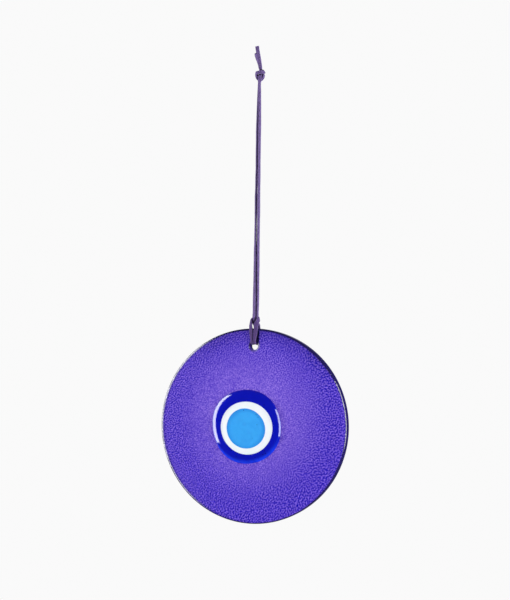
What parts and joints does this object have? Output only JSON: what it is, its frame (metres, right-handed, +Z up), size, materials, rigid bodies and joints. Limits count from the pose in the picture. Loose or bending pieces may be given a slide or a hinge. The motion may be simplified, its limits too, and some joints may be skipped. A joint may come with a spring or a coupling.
{
  "type": "evil eye ornament",
  "caption": "Round violet glass evil eye ornament that hangs on a wall or window from a knotted flat lace hitched through its rim hole.",
  "frame": {"origin": "the point it hangs from, between the lace's legs just under the knot and over the middle of the disc's thickness", "axes": "+Z up along the hanging lace, -Y out of the eye towards the viewer, +X to the viewer's right"},
  "size_m": [0.13, 0.0128, 0.3198],
  "materials": {
    "violet_glass": "wrinkled fire-polished",
    "cobalt_glass": "fire-polished",
    "white_glass": "opaque fire-polished",
    "light_blue_glass": "opaque fire-polished",
    "lace": "napped suede"
  },
  "bodies": {
    "knot": {"top_knot": "lace"},
    "tails": {"tail_front": "lace", "tail_back": "lace"},
    "leg_tops": {"left_leg_top": "lace", "right_leg_top": "lace"},
    "upper_legs": {"left_leg_upper": "lace", "right_leg_upper": "lace"},
    "lower_legs": {"left_leg_lower": "lace", "right_leg_lower": "lace"},
    "hitch": {"lace_hitch": "lace"},
    "disc": {"glass_disc": "violet_glass", "cobalt_dome": "cobalt_glass", "white_layer": "white_glass", "blue_iris": "light_blue_glass"}
  },
  "joints": [
    {"name": "tails_bend", "type": "hinge", "parent": "knot", "child": "tails", "pos_m": [0, 0, 0.01045], "axis": [1, 0, 0], "range_deg": [-40, 40]},
    {"name": "swing_side", "type": "hinge", "parent": "knot", "child": "leg_tops", "pos_m": [0, 0, -0.00165], "axis": [0, 1, 0], "range_deg": [-60, 60]},
    {"name": "swing_front", "type": "hinge", "parent": "leg_tops", "child": "upper_legs", "pos_m": [0, 0, -0.00765], "axis": [1, 0, 0], "range_deg": [-60, 60]},
    {"name": "lace_twist", "type": "hinge", "parent": "upper_legs", "child": "lower_legs", "pos_m": [0, 0, -0.08203], "axis": [0, 0, 1], "range_deg": [-170, 170]},
    {"name": "disc_tip", "type": "hinge", "parent": "lower_legs", "child": "hitch", "pos_m": [0, 0, -0.1564], "axis": [1, 0, 0], "range_deg": [-90, 90]},
    {"name": "disc_rock", "type": "hinge", "parent": "hitch", "child": "disc", "pos_m": [0, 0, -0.1777], "axis": [0, 1, 0], "range_deg": [-20, 20]}
  ]
}
